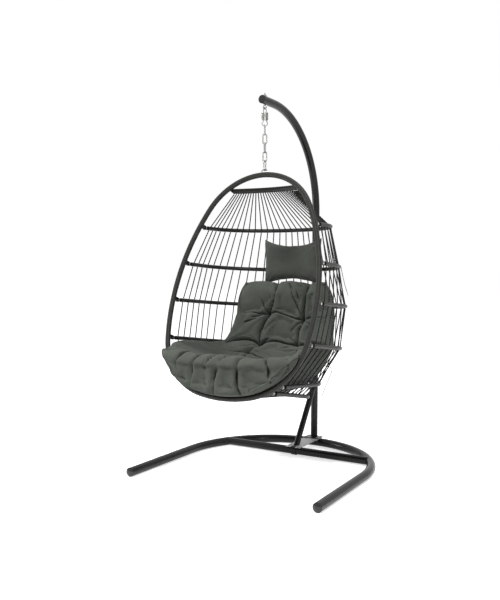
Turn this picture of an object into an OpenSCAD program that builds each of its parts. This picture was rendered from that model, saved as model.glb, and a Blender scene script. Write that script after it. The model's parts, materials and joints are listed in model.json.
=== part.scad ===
// Hanging egg chair: a folding strand basket on a chain, under a curved post with a U-shaped base.
// Millimetres. X is the chair's width, the sitter faces -Y, Z is up. Origin: middle of the
// footprint, on the floor.

/* [Stand] */
// Overall depth of the base, from the front caps to the back of the rail
base_d = 1115; // [1060:5:1180]
// Distance between the two feet, measured between tube centres
base_w = 1062; // [1000:2:1100]
// Diameter of the base rail
rail_d = 48; // [44:1:52]
// Wall of the stand's tubes
tube_wall = 1.5; // [1.2:0.1:2]
// Diameter of the crossbar between the two legs of the rail
cross_d = 44; // [38:1:46]
// Distance from the post to the crossbar
cross_back = 259; // [220:1:300]
// Diameter of the post and the arm
post_d = 42; // [38:1:44]
// Height of the arm's level part above the floor
arm_z = 1921; // [1880:1:1960]
// Bend radius of the arm
arm_bend_r = 520; // [440:5:560]
// Distance from the post to the hook
hook_out = 616; // [600:1:640]
// How far the arm runs past the hook
arm_past_hook = 26; // [22:1:40]
// Height of the joint between post and arm
arm_joint_z = 900; // [700:10:1100]
// Length of the arm's spigot inside the post
spigot_len = 120; // [80:5:160]
// Diameter of the brace between crossbar and post
brace_d = 34; // [28:1:38]
// Height at which the brace meets the post
brace_top_z = 385; // [340:5:420]
// Distance in front of the post at which the brace meets the base plate
brace_foot_back = 236; // [200:1:240]
// Width of the base plate
plate_w = 92; // [84:1:110]
// Thickness of the base plate, of the post's flange and of the crossbar strap
plate_t = 4; // [3:0.5:5]
// Diameter of the anchor hole in the base plate
anchor_d = 12; // [8:0.5:14]

/* [Spring and chain] */
// Diameter of the wire of the eye bolt, the links and the basket's eye
link_wire_d = 6; // [5:0.5:6]
// Inner length of a link
link_inner = 45; // [42:0.5:46]
// Inner width of a link
link_gap = 14; // [13:0.5:18]
// Number of chain links
link_count = 5;
// Outer diameter of the coil spring
coil_d = 36; // [34:1:40]
// Length of the coil under the basket's weight
coil_len = 37; // [34:1:44]
// Wire of the coil and of its two bails
spring_wire_d = 5; // [4:0.5:5]
// Turns of the coil
coil_turns = 5; // [4:1:6]
// Further travel of the spring before its coils close
spring_stroke = 6; // [4:0.5:7]

/* [Basket] */
// Diameter of the hoop's steel tube
hoop_tube_d = 22; // [20:1:24]
// Thickness of the wicker wrap on the hoop and on the top bar
wrap_t = 2.5; // [1.5:0.1:3.5]
// Radius of the top of the hoop
hoop_top_r = 325; // [315:1:335]
// Radius of the hoop's long sides
hoop_side_r = 1130; // [1100:5:1160]
// Radius of the hoop's lower corners
hoop_corner_r = 328; // [320:1:336]
// Lean of the hoop, its top further back
hoop_tilt = 19.6; // [18:0.1:21]
// Wall of the hoop's and the ribs' tubes
basket_wall = 1.2; // [1:0.1:1.5]
// Diameter of the rib tubes
rib_d = 16; // [15:0.5:18]
// Distance from the hoop's plane back to the rib pivots
pivot_back = 39; // [38:0.5:42]
// Diameter of the pivot bolts
pivot_d = 6; // [5:0.5:6]
// Diameter of the top bar's steel tube
top_bar_d = 22; // [18:1:22]
// Bow of the top bar towards the back
top_bar_bow = 35; // [30:1:45]
// Diameter of a strand
strand_d = 5; // [4:0.5:5]
// Number of strands, an odd number
strand_count = 31; // [27:2:31]
// Spacing of the strands along the top bar
top_pitch = 12; // [11:0.5:12.5]
// Distance along a rib from its pivot to the first strand
strand_start = 46; // [44:1:60]

/* [Cushions] */
// Thickness of the fabric and its stitched-in wadding
cover_t = 6; // [4:0.5:8]
// Width of the head pillow
pillow_w = 372; // [340:4:380]
// Height of the head pillow
pillow_h = 247; // [225:2:255]
// Thickness of the head pillow
pillow_t = 96; // [80:2:100]

/* [Hidden] */
$fn = 48;

steel = "#26282a";
wicker = "#3b3c39";
zinc = "#c9ccd0";
fabric = "#4a4f4a";

// Clearances
weld_gap = 0.1;       // between pieces that are welded or wrapped together
seat_gap = 0.3;       // between a strand or a cushion and what carries it
run_gap = 0.05;       // radial, a pivot bolt in its eye
side_gap = 0.25;      // beside a rib's eye
slip_gap = 0.2;       // radial, a spigot or a plug in its tube

// Stand
rail_r = rail_d / 2;
leg_x = base_w / 2;
cap_dome = 8;
cap_plug = 30;
post_y = base_d / 2 - rail_r;
bend_y = post_y - leg_x;
front_y = -base_d / 2 + cap_dome;
cross_r = cross_d / 2;
cross_y = post_y - cross_back;
cross_z = rail_d - cross_r;
plate_z = rail_d + weld_gap;
plate_top = plate_z + plate_t;
plate_lip = 25;
plate_front = cross_y - plate_lip;
plate_back = post_y + rail_r;
strap_w = 30;
strap_r = cross_r + weld_gap;
flange_d = 72;
flange_z = plate_top + weld_gap;
flange_top = flange_z + plate_t;
post_r = post_d / 2;
brace_r = brace_d / 2;
brace_y = post_y - brace_foot_back;
brace_slope = atan2(brace_top_z - plate_top, brace_foot_back);
bolt_d = 8;
bolt_pitch = 36;
bolt_y = post_y - flange_d / 2 - 6;
anchor_y = post_y - 171;
arm_bolt_d = 6;
arm_bolt_drop = [30, 80];

// Hook, spring and chain, from the top down
hang_y = post_y - hook_out;
arm_end_y = hang_y - arm_past_hook;
arm_bend_y = post_y - arm_bend_r;
link_r = link_wire_d / 2;
spring_r = spring_wire_d / 2;
bolt_eye_r = 9;
bolt_eye_z = arm_z - post_r - bolt_eye_r - link_r - 1;
link_contact = 0.3;
bail_top_z = bolt_eye_z - bolt_eye_r + link_r + spring_r + link_contact;
bail_turn = 70;
bail_top_r = 8;
coil_r = (coil_d - spring_wire_d) / 2;
coil_top_z = bolt_eye_z - bolt_eye_r - 19;
coil_bottom_z = coil_top_z - coil_len;
bail_leg_x = coil_r - spring_wire_d - 1.2;
lower_turn = 30;
lower_r = 14;
lower_z = coil_bottom_z - 29.5;
bow_r = (link_gap + link_wire_d) / 2;
link_pitch = link_inner - link_contact;
link_turns = [114, 18, 102, 6, 90];
link_1_z = lower_z + spring_r + link_r + link_contact;
eye_z = link_1_z - link_count * link_pitch;

// Hoop: four tangent arcs from the top to the bottom, each [radius, heading at its end]
heads = [0, 63, 100, 168, 180];
hoop_r = hoop_tube_d / 2;
wrap_r = hoop_r + wrap_t;
hoop_end_x = hoop_top_r * sin(heads[1]) + hoop_side_r * (sin(heads[2]) - sin(heads[1]))
    + hoop_corner_r * (sin(heads[3]) - sin(heads[2]));
hoop_bottom_r = hoop_end_x / sin(heads[3]);
hoop_rs = [hoop_top_r, hoop_side_r, hoop_corner_r, hoop_bottom_r];
function arc_x(i) = i == 0 ? 0 : arc_x(i - 1) + hoop_rs[i - 1] * (sin(heads[i]) - sin(heads[i - 1]));
function arc_d(i) = i == 0 ? 0 : arc_d(i - 1) + hoop_rs[i - 1] * (cos(heads[i - 1]) - cos(heads[i]));
function mid_x(i) = arc_x(i) - hoop_rs[i] * sin(heads[i]);
function mid_d(i) = arc_d(i) + hoop_rs[i] * cos(heads[i]);
hoop_len = arc_d(4);
function hoop_arc(d) = d < arc_d(1) ? 0 : d < arc_d(2) ? 1 : d < arc_d(3) ? 2 : 3;
function hoop_half(d) = let (i = hoop_arc(d)) mid_x(i) + sqrt(pow(hoop_rs[i], 2) - pow(d - mid_d(i), 2));

// The basket hangs on its eye: the eye's wire rests in the last link
eye_r = 17;
eye_lean = 24;
eye_up = wrap_r + eye_r + 1;
hoop_y = hang_y - eye_up * sin(eye_lean);
hoop_z = eye_z - eye_up * cos(eye_lean);

// Ribs 2 to 7: [distance down the hoop, depth, corner radius, droop towards the back]
rib_table = [[0, 0, 0, 0], [0, 0, 0, 0],
    [264, 370, 240, 0.7], [466, 460, 305, 4.0], [667, 550, 260, 4.8],
    [872, 600, 280, 7.4], [1079, 620, 265, 6.0], [1110, 520, 150, 11.3]];
corner_turn = 60;
rib_r = rib_d / 2;
rib_wrap_r = rib_r + wrap_t;
eye_plate_t = 5;
eye_plate_r = 10.5;
eye_plate_len = 24;
ear_t = 2.5;
ear_r = 11;
pivot_r = pivot_d / 2;
strand_r = strand_d / 2;
ear_out = eye_plate_t / 2 + side_gap + ear_t;
washer_t = 1.5;
head_h = 4;

function rib_d_down(k) = rib_table[k][0];
function rib_x(k) = hoop_half(rib_table[k][0]);
function rib_depth(k) = rib_table[k][1];
function corner_r(k) = min(rib_table[k][2], rib_x(k) * 0.95);
function back_r(k) = (rib_x(k) - corner_r(k)) / cos(corner_turn) + corner_r(k);
function rib_leg(k) = rib_depth(k) - corner_r(k) * sin(corner_turn) - back_r(k) * (1 - sin(corner_turn));
function corner_len(k) = corner_r(k) * corner_turn * PI / 180;
function back_len(k) = back_r(k) * (90 - corner_turn) * PI / 180;
function rib_half_len(k) = rib_leg(k) + corner_len(k) + back_len(k);

// Point of a rib at a distance u from the middle of its back, in the rib's own plane
function rib_flat(k, u) = let (a = abs(u), s = u < 0 ? -1 : 1, bl = back_len(k), cl = corner_len(k))
    a <= bl ? let (t = 90 - a / back_r(k) * 180 / PI)
        [s * back_r(k) * cos(t), rib_depth(k) - back_r(k) + back_r(k) * sin(t), sin(t), s * -cos(t)]
    : a <= bl + cl ? let (t = corner_turn - (a - bl) / corner_r(k) * 180 / PI)
        [s * (rib_x(k) - corner_r(k) + corner_r(k) * cos(t)), rib_leg(k) + corner_r(k) * sin(t),
            sin(t), s * -cos(t)]
    : [s * rib_x(k), rib_half_len(k) - a, 0, -s];

// A basket point: d down the hoop, b behind its plane
function hoop_point(x, d, b) = [x, hoop_y - d * sin(hoop_tilt) + b * cos(hoop_tilt),
    hoop_z - d * cos(hoop_tilt) - b * sin(hoop_tilt)];
function rib_pivot(k) = hoop_point(0, rib_d_down(k), pivot_back);
function rib_tilt(k) = rib_table[k][3];
function rib_turned(k, x, y) = [x, y * cos(rib_tilt(k)), -y * sin(rib_tilt(k))];
function rib_point(k, u) = let (f = rib_flat(k, u)) rib_pivot(k) + rib_turned(k, f[0], f[1]);
function rib_along(k, u) = let (f = rib_flat(k, u)) rib_turned(k, f[2], f[3]);

// Strands: number j counts from the left, spread evenly along every rib
half_count = (strand_count - 1) / 2;
function share(j) = (j - half_count) / half_count;
function strand_u(k, j) = share(j) * (rib_half_len(k) - strand_start);
function rib_strand(k, j) = rib_point(k, strand_u(k, j));

// Top bar: one arc between its two lugs
top_d = 62;
top_x = hoop_half(top_d);
top_r = top_bar_d / 2;
top_wrap_r = top_r + wrap_t;
top_arc_r = (pow(top_x, 2) + pow(top_bar_bow, 2)) / (2 * top_bar_bow);
top_half_angle = asin(top_x / top_arc_r);
top_lug_t = 4;
function top_turn(j) = share(j) * half_count * top_pitch / top_arc_r * 180 / PI;
function top_point(j) = hoop_point(0, top_d, pivot_back)
    + [top_arc_r * sin(top_turn(j)), top_bar_bow - top_arc_r * (1 - cos(top_turn(j))), 0];
function top_along(j) = [cos(top_turn(j)), -sin(top_turn(j)), 0];
function strand_at(k, j) = k == 1 ? top_point(j) : rib_strand(k, j);
function unit(v) = v / norm(v);

// Where a strand along way stops short of the wicker that is wound round the bar or the rib
function tube_stop(r, way, along) = (r + seat_gap + strand_r * abs(way * along)) / norm(cross(way, along));
function strand_stop(k, j, way) = k == 1 ? tube_stop(top_wrap_r, way, top_along(j))
    : tube_stop(rib_wrap_r, way, unit(rib_along(k, strand_u(k, j))));

// Seat strands run forward from the back of rib 7 to the bottom of the hoop
seat_count = 8;
seat_spread = 180;
function seat_u(j) = (j + 0.5 - seat_count / 2) * (rib_half_len(7) - strand_start) / half_count;
function seat_start(j) = rib_point(7, seat_u(j));
function seat_x(j) = (j * 2 / (seat_count - 1) - 1) * seat_spread;
function hoop_low(x) = let (i = abs(x) < hoop_end_x ? 3 : 2)
    mid_d(i) + sqrt(pow(hoop_rs[i], 2) - pow(abs(x) - mid_x(i), 2));
function seat_end(j) = hoop_point(seat_x(j), hoop_low(seat_x(j)), 0);
function seat_way(j) = unit(seat_end(j) - seat_start(j));
function hoop_along(x) = let (i = abs(x) < hoop_end_x ? 3 : 2, a = asin((abs(x) - mid_x(i)) / hoop_rs[i]))
    [cos(a), -sign(x) * sin(a) * -sin(hoop_tilt), sign(x) * sin(a) * cos(hoop_tilt)];

// Cushion: cross-sections from the front rim over the seat to the top of the back. Each is
// [y, z] of its middle and [y, z] of its raised edges from the top of the hoop, half width, thickness
cushion_table = [
    [[-425, -1010], [-412, -956], 265, 56], [[-412, -1015], [-395, -936], 300, 138],
    [[-391, -1008], [-375, -918], 319, 136], [[-370, -1006], [-366, -900], 356, 146],
    [[-333, -1020], [-318, -884], 358, 146], [[-295, -1035], [-285, -864], 366, 142],
    [[-205, -1042], [-205, -858], 374, 134], [[-105, -1054], [-115, -866], 376, 132],
    [[-5, -1060], [-30, -878], 368, 132], [[78, -1048], [52, -894], 354, 132],
    [[148, -1012], [122, -888], 338, 132], [[203, -953], [165, -866], 322, 132],
    [[237, -884], [193, -826], 306, 130], [[254, -810], [222, -770], 298, 126],
    [[260, -735], [238, -705], 292, 122], [[256, -665], [240, -650], 286, 116],
    [[248, -605], [238, -602], 272, 100], [[244, -574], [238, -574], 247, 50]];
cushion_sides = 28;
function path_way(t, i) = let (a = t[max(i - 1, 0)][0], b = t[min(i + 1, len(t) - 1)][0]) unit(b - a);
function loop_v(a) = [sign(cos(a)) * pow(abs(cos(a)), 0.8), sin(a)];
function cushion_ring(i, inset) = let (r = cushion_table[i], way = path_way(cushion_table, i),
        w = r[2] - inset, t = r[3] / 2 - inset)
    [for (n = [0 : cushion_sides - 1]) let (v = loop_v(n * 360 / cushion_sides),
            mid = r[0] + (r[1] - r[0]) * pow(abs(v[0]) * w / r[2], 3))
        [w * v[0], mid[0] - way[1] * t * v[1], mid[1] + way[0] * t * v[1]]];
function cushion_rings(inset) = let (n = len(cushion_table) - 1, cut = inset > 0 ? 1 : 0)
    [for (i = [cut : n - cut]) cushion_ring(i, inset)];

// Head pillow: cross-sections along its width, drawn in at the middle of its long edges
pillow_x = 45;
pillow_at = [263.3, -441];
pillow_yaw = -5;
pillow_steps = 16;
pillow_sides = 24;
function pillow_ring(t, inset) = let (
        half = pillow_w / 2 - inset,
        tall = pillow_h / 2 * (0.72 + 0.28 * pow(abs(t), 2.2)) - inset,
        thick = max(pillow_t / 2 * pow(1 - pow(abs(t), 3), 0.5), 7) - inset * 0.9)
    [for (n = [0 : pillow_sides - 1]) let (a = n * 360 / pillow_sides)
        [t * half, thick * sin(a) * pow(abs(sin(a)), 0.1), tall * sign(cos(a)) * pow(abs(cos(a)), 0.7)]];
function pillow_rings(inset) = [for (i = [0 : pillow_steps])
    pillow_ring(sin((i / pillow_steps * 2 - 1) * 90), inset)];

// Ties, in points from the top of the hoop
pillow_tie_d = 3;
cushion_tie_d = 3.5;
pillow_tie_points = [[231.6, 248.5, -441], [262, 231, -446], [305, 203, -451], [335, 173, -455],
    [347, 157, -459], [354.1, 160.8, -458.3], [362.3, 164.9, -463.8], [364.2, 166.1, -478], [368, 170, -501],
    [373, 175, -531], [379, 181, -561], [386, 187, -591], [393, 193, -618]];
cushion_tie_points = [[294.3, 116.9, -977.7], [302, 123, -980], [312, 131, -984], [324, 141, -988],
    [329, 145, -996], [327, 139, -1016], [319, 127, -1046], [309, 113, -1081], [300, 101, -1116],
    [297, 96, -1132]];
tie_sides = 8;

// ---- general shapes ----

// Straight tube or rod from point a to point b
module rod(a, b, r, r_in = 0) {
    v = b - a;
    translate(a) rotate([0, acos(v[2] / norm(v)), atan2(v[1], v[0])]) difference() {
        cylinder(r = r, h = norm(v));
        if (r_in > 0) translate([0, 0, -1]) cylinder(r = r_in, h = norm(v) + 2);
    }
}

// Tube bent to radius bend in the XY plane, from angle a0 to a1
module bent_tube(bend, a0, a1, r, r_in = 0) {
    rotate([0, 0, a0]) rotate_extrude(angle = a1 - a0, $fn = 96) translate([bend, 0]) difference() {
        circle(r = r, $fn = 32);
        if (r_in > 0) circle(r = r_in, $fn = 32);
    }
}

// Tube swept along points as one polyhedron with the given number of sides
module swept(points, r, sides) {
    n = len(points);
    dirs = [for (i = [0 : n - 1]) unit(points[min(i + 1, n - 1)] - points[max(i - 1, 0)])];
    rings = [for (i = [0 : n - 1]) let (
            t = dirs[i],
            side = unit(cross(t, abs(t[2]) > 0.9 ? [1, 0, 0] : [0, 0, 1])),
            up = cross(side, t))
        for (a = [0 : sides - 1]) points[i] + r * (cos(a * 360 / sides) * side + sin(a * 360 / sides) * up)];
    faces = [for (i = [0 : n - 2]) for (a = [0 : sides - 1]) let (b = (a + 1) % sides)
        [i * sides + a, i * sides + b, (i + 1) * sides + b, (i + 1) * sides + a]];
    polyhedron(rings, concat(faces, [[for (a = [sides - 1 : -1 : 0]) a]],
        [[for (a = [0 : sides - 1]) (n - 1) * sides + a]]), convexity = 8);
}

function mean(ring) = [for (c = [0 : 2]) [for (p = ring) 1] * [for (p = ring) p[c]] / len(ring)];

// Closed skin over rings of equally many points; a fan round its middle closes each end
module skin(rings) {
    n = len(rings);
    m = len(rings[0]);
    points = [for (ring = rings) each ring, mean(rings[0]), mean(rings[n - 1])];
    sides = [for (i = [0 : n - 2]) for (a = [0 : m - 1]) let (b = (a + 1) % m)
        each [[i * m + a, i * m + b, (i + 1) * m + b], [i * m + a, (i + 1) * m + b, (i + 1) * m + a]]];
    ends = [for (a = [0 : m - 1]) let (b = (a + 1) % m)
        each [[n * m, b, a], [n * m + 1, (n - 1) * m + a, (n - 1) * m + b]]];
    polyhedron(points, concat(sides, ends), convexity = 8);
}

module hex_nut(d, h, bore_r) {
    difference() {
        cylinder(r = d / 2 / cos(30), h = h, $fn = 6);
        translate([0, 0, -1]) cylinder(r = bore_r, h = h + 2);
    }
}

// ---- stand ----

module rail_path(r, r_in) {
    translate([0, bend_y, rail_r]) bent_tube(leg_x, 0, 180, r, r_in);
    for (s = [-1, 1]) rod([s * leg_x, front_y, rail_r], [s * leg_x, bend_y, rail_r], r, r_in);
}

module base_rail() {
    color(steel) rail_path(rail_r, rail_r - tube_wall);
}

// End caps: a low dome outside the tube and a plug inside it
module foot_caps() {
    dome_r = (pow(rail_r, 2) + pow(cap_dome, 2)) / (2 * cap_dome);
    color("#1a1b1c") for (s = [-1, 1]) translate([s * leg_x, front_y, rail_r]) rotate([90, 0, 0]) {
        intersection() {
            translate([0, 0, cap_dome - dome_r]) sphere(r = dome_r, $fn = 64);
            translate([0, 0, weld_gap]) cylinder(r = rail_r, h = cap_dome + 1);
        }
        translate([0, 0, -cap_plug]) cylinder(r = rail_r - tube_wall - slip_gap, h = cap_plug + 1);
    }
}

module crossbar() {
    half = leg_x * sqrt(1 - pow((leg_x - cross_back) / leg_x, 2));
    color(steel) difference() {
        rod([-half, cross_y, cross_z], [half, cross_y, cross_z], cross_r, cross_r - tube_wall);
        translate([0, bend_y, rail_r]) bent_tube(leg_x, 0, 180, rail_r + weld_gap);
    }
}

module base_plate() {
    color(zinc) difference() {
        translate([-plate_w / 2, plate_front, plate_z]) cube([plate_w, plate_back - plate_front, plate_t]);
        translate([-strap_w / 2 - slip_gap, plate_front - 1, plate_z - 1])
            cube([strap_w + 2 * slip_gap, plate_lip + 5, plate_t + 2]);
        translate([0, anchor_y, plate_z - 1]) cylinder(d = anchor_d, h = plate_t + 2);
        for (x = [-bolt_pitch : bolt_pitch : bolt_pitch]) translate([x, bolt_y, plate_z - 1])
            cylinder(r = bolt_d / 2 + slip_gap, h = plate_t + 2);
    }
}

// Half ring round the front of the crossbar, from its top to its underside
module crossbar_strap() {
    color(steel) translate([-strap_w / 2, cross_y, cross_z]) rotate([0, 90, 0]) difference() {
        cylinder(r = strap_r + plate_t, h = strap_w);
        translate([0, 0, -1]) cylinder(r = strap_r, h = strap_w + 2);
        translate([-strap_r - plate_t - 1, 0, -1]) cube([2 * (strap_r + plate_t) + 2, strap_r + plate_t + 1,
            strap_w + 2]);
        translate([cross_z - weld_gap, -strap_r - plate_t - 1, -1])
            cube([plate_t + 2, strap_r + plate_t + 2, strap_w + 2]);
    }
}

module post() {
    hole_r = arm_bolt_d / 2 + slip_gap;
    color(steel) difference() {
        union() {
            translate([0, post_y, flange_top]) cylinder(r = post_r, h = arm_joint_z - flange_top);
            translate([-plate_w / 2, post_y + rail_r - flange_d, flange_z])
                cube([plate_w, flange_d, plate_t]);
        }
        translate([0, post_y, flange_top]) cylinder(r = post_r - tube_wall, h = arm_joint_z);
        for (x = [-bolt_pitch : bolt_pitch : bolt_pitch]) translate([x, bolt_y, flange_z - 1])
            cylinder(r = bolt_d / 2 + slip_gap, h = plate_t + 2);
        for (drop = arm_bolt_drop) translate([0, post_y - post_r - 5, arm_joint_z - drop]) rotate([-90, 0, 0])
            cylinder(r = hole_r, h = post_d + 10);
    }
}

// Three bolts through the flange and the plate, each with its nut below
module plate_bolts() {
    nut_h = 6.5;
    color(zinc) for (x = [-bolt_pitch : bolt_pitch : bolt_pitch]) translate([x, bolt_y, 0]) {
        translate([0, 0, plate_z - nut_h - 2]) cylinder(d = bolt_d, h = flange_top - plate_z + nut_h + 3);
        translate([0, 0, flange_top + weld_gap]) cylinder(d = 13 / cos(30), h = 5.3, $fn = 6);
        translate([0, 0, plate_z - nut_h - weld_gap]) cylinder(d = 13 / cos(30), h = nut_h, $fn = 6);
    }
}

// Slanted tube, cut level on the plate and hollowed to the post's round
module brace() {
    foot = [0, brace_y, plate_top];
    way = [0, cos(brace_slope), sin(brace_slope)];
    color(steel) difference() {
        rod(foot - way * 40, foot + way * (brace_foot_back / cos(brace_slope)), brace_r, brace_r - tube_wall);
        translate([-brace_d, brace_y - 100, plate_top + weld_gap - 80]) cube([brace_d * 2, 200, 80]);
        translate([0, post_y, 0]) cylinder(r = post_r + weld_gap, h = arm_joint_z);
    }
}

module arm_bolt_holes(r) {
    for (drop = arm_bolt_drop) translate([0, post_y - post_r - 5, arm_joint_z - drop]) rotate([-90, 0, 0])
        cylinder(r = r, h = post_d + 10);
}

// Arm: spigot, straight, bend and level end, with the hole of the eye bolt
module arm() {
    spigot_r = post_r - tube_wall - slip_gap;
    color(steel) difference() {
        union() {
            translate([0, post_y, arm_joint_z + weld_gap]) cylinder(r = post_r, h = arm_z - arm_bend_r
                - arm_joint_z - weld_gap);
            translate([0, arm_bend_y, arm_z - arm_bend_r]) rotate([90, 0, 90])
                bent_tube(arm_bend_r, 0, 90, post_r);
            rod([0, arm_end_y, arm_z], [0, arm_bend_y, arm_z], post_r);
            translate([0, post_y, arm_joint_z - spigot_len]) cylinder(r = spigot_r, h = spigot_len + 1);
        }
        translate([0, post_y, arm_joint_z + 20]) cylinder(r = post_r - tube_wall, h = arm_z - arm_bend_r
            - arm_joint_z - 20);
        translate([0, arm_bend_y, arm_z - arm_bend_r]) rotate([90, 0, 90])
            bent_tube(arm_bend_r, 0, 90, post_r - tube_wall);
        rod([0, arm_end_y - 1, arm_z], [0, arm_bend_y, arm_z], post_r - tube_wall);
        translate([0, post_y, arm_joint_z - spigot_len - 1])
            cylinder(r = spigot_r - tube_wall, h = spigot_len + 22);
        translate([0, hang_y, arm_z - post_r - 5]) cylinder(r = link_r + slip_gap, h = post_d + 10);
        arm_bolt_holes(arm_bolt_d / 2 + slip_gap);
    }
}

// Two through bolts that hold the arm's spigot, with domed heads and nuts
module arm_bolts() {
    color(zinc) for (drop = arm_bolt_drop) translate([0, post_y, arm_joint_z - drop]) rotate([-90, 0, 0]) {
        translate([0, 0, -post_r - 3]) cylinder(d = arm_bolt_d, h = post_d + 7);
        translate([0, 0, -post_r - 3 - weld_gap]) cylinder(d = 11, h = 3);
        translate([0, 0, post_r + weld_gap]) cylinder(d = 10 / cos(30), h = 5, $fn = 6);
    }
}

module arm_cap() {
    cap_t = 3;
    color("#1a1b1c") translate([0, arm_end_y, arm_z]) rotate([90, 0, 0]) {
        translate([0, 0, weld_gap]) cylinder(r = post_r, h = cap_t);
        translate([0, 0, -12]) cylinder(r = post_r - tube_wall - slip_gap, h = 12.5);
    }
}

// ---- hook, spring and chain ----

module eye_bolt() {
    color(zinc) {
        translate([0, hang_y, bolt_eye_z]) rotate([90, 0, 0]) bent_tube(bolt_eye_r, 0, 360, link_r);
        translate([0, hang_y, bolt_eye_z + bolt_eye_r]) cylinder(r = link_r, h = arm_z + post_r + 14
            - bolt_eye_z - bolt_eye_r);
    }
}

// Saddle washer and nut on top of the arm
module eye_nuts() {
    saddle_t = 2;
    color(zinc) {
        difference() {
            translate([0, hang_y, arm_z]) cylinder(r = 10, h = post_r + saddle_t);
            rod([0, hang_y - 20, arm_z], [0, hang_y + 20, arm_z], post_r + weld_gap);
            translate([0, hang_y, arm_z]) cylinder(r = link_r + slip_gap, h = post_r + 10);
            translate([-15, hang_y - 15, arm_z - 1]) cube([30, 30, post_r * 0.85]);
        }
        translate([0, hang_y, arm_z + post_r + saddle_t + weld_gap]) hex_nut(10, 5, link_r + run_gap);
    }
}

// Rounds the corner between two rods of radius r
module ball(at, r) {
    translate(at) sphere(r = r + 0.05, $fn = 32);
}

// Upper bail: a narrow bow on the eye, splayed legs, hooks under the coil
module spring_upper_bail() {
    bend_z = coil_top_z + 6;
    color(zinc) translate([0, hang_y, 0]) rotate([0, 0, bail_turn]) {
        translate([0, 0, bail_top_z - bail_top_r]) rotate([90, 0, 0]) bent_tube(bail_top_r, 0, 180, spring_r);
        for (s = [-1, 1]) {
            hook_z = coil_bottom_z + coil_rise(s > 0 ? bail_turn : bail_turn + 180) - seat_gap - spring_r;
            ball([s * bail_top_r, 0, bail_top_z - bail_top_r], spring_r);
            rod([s * bail_top_r, 0, bail_top_z - bail_top_r], [s * bail_leg_x, 0, bend_z], spring_r);
            ball([s * bail_leg_x, 0, bend_z], spring_r);
            rod([s * bail_leg_x, 0, hook_z], [s * bail_leg_x, 0, bend_z], spring_r);
            ball([s * bail_leg_x, 0, hook_z], spring_r);
            rod([s * bail_leg_x, 0, hook_z], [s * coil_r, 0, hook_z], spring_r);
            ball([s * coil_r, 0, hook_z], spring_r);
        }
    }
}

coil_steps = 14;
coil_pitch = (coil_len - spring_wire_d) / coil_turns;
function coil_rise(a) = coil_pitch * a / 360;
coil_points = [for (i = [0 : coil_turns * coil_steps]) let (a = i * 360 / coil_steps)
    [coil_r * cos(a), coil_r * sin(a), coil_bottom_z + spring_r + coil_rise(a)]];

module coil_spring() {
    color("#b9bcc0") translate([0, hang_y, 0]) swept(coil_points, spring_r, 8);
}

// Lower bail: hooks over the coil's top, legs down through it, then a wide bow for the chain
module spring_lower_bail() {
    wide_z = lower_z + lower_r;
    bend_z = coil_bottom_z - 8;
    color(zinc) translate([0, hang_y, 0]) rotate([0, 0, lower_turn]) {
        translate([0, 0, wide_z]) rotate([90, 0, 0]) bent_tube(lower_r, 180, 360, spring_r);
        for (s = [-1, 1]) {
            hook_z = coil_top_z - coil_pitch + coil_rise(s > 0 ? lower_turn : lower_turn + 180)
                + seat_gap + spring_r;
            ball([s * lower_r, 0, wide_z], spring_r);
            rod([s * lower_r, 0, wide_z], [s * bail_leg_x, 0, bend_z], spring_r);
            ball([s * bail_leg_x, 0, bend_z], spring_r);
            rod([s * bail_leg_x, 0, bend_z], [s * bail_leg_x, 0, hook_z], spring_r);
            ball([s * bail_leg_x, 0, hook_z], spring_r);
            rod([s * bail_leg_x, 0, hook_z], [s * coil_r, 0, hook_z], spring_r);
            ball([s * coil_r, 0, hook_z], spring_r);
        }
    }
}

// One link: two bows and two straight sides, n counted from the top
module chain_link(n) {
    bow_top = link_1_z - (n - 1) * link_pitch - bow_r;
    bow_bottom = bow_top + 2 * bow_r - link_inner - link_wire_d;
    color(zinc) translate([0, hang_y, 0]) rotate([0, 0, link_turns[n - 1]]) {
        translate([0, 0, bow_top]) rotate([90, 0, 0]) bent_tube(bow_r, 0, 180, link_r);
        translate([0, 0, bow_bottom]) rotate([90, 0, 0]) bent_tube(bow_r, 180, 360, link_r);
        for (s = [-1, 1]) translate([s * bow_r, 0, bow_bottom]) cylinder(r = link_r, h = bow_top - bow_bottom);
    }
}

module chain_link_1() { chain_link(1); }
module chain_link_2() { chain_link(2); }
module chain_link_3() { chain_link(3); }
module chain_link_4() { chain_link(4); }
module chain_link_5() { chain_link(5); }

// ---- basket ----

// Hoop-shaped tube in the hoop's own frame: Z up along the hoop, Y to the back. It is rolled in
// six lengths, which meet at a hairline seam
module hoop_path(r, r_in = 0) {
    hoop_length(0, 0, -heads[1], heads[1], r, r_in);
    hoop_length(3, 0, heads[3], 360 - heads[3], r, r_in);
    for (s = [0, 1]) for (i = [1, 2]) hoop_length(i, s, heads[i], heads[i + 1], r, r_in);
}

module hoop_length(i, s, from, to, r, r_in = 0) {
    mirror([s, 0, 0]) translate([mid_x(i), 0, -mid_d(i)]) rotate([90, 0, 0])
        bent_length(hoop_rs[i], 90 - to, 90 - from, r, r_in);
}

// The whole ring that the hoop follows near a distance d down it, on the right for side 0
module hoop_ring(d, side, r) {
    i = hoop_arc(d);
    mirror([side, 0, 0]) translate([mid_x(i), 0, -mid_d(i)]) rotate([90, 0, 0]) bent_tube(hoop_rs[i], 0, 360, r);
}

module in_hoop() {
    translate([0, hoop_y, hoop_z]) rotate([-hoop_tilt, 0, 0]) children();
}

module hoop() {
    color(steel) in_hoop() hoop_path(hoop_r, hoop_r - basket_wall);
}

module hoop_wrap() {
    color(wicker) difference() {
        in_hoop() hoop_path(wrap_r, hoop_r + weld_gap);
        eye_legs(link_r + weld_gap);
    }
}

module in_eye() {
    translate([0, hoop_y, hoop_z]) rotate([-eye_lean, 0, 0]) children();
}

module eye_legs(r) {
    in_eye() for (s = [-1, 1]) translate([s * eye_r, 0, 0]) cylinder(r = r, h = eye_up - eye_r);
}

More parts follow.
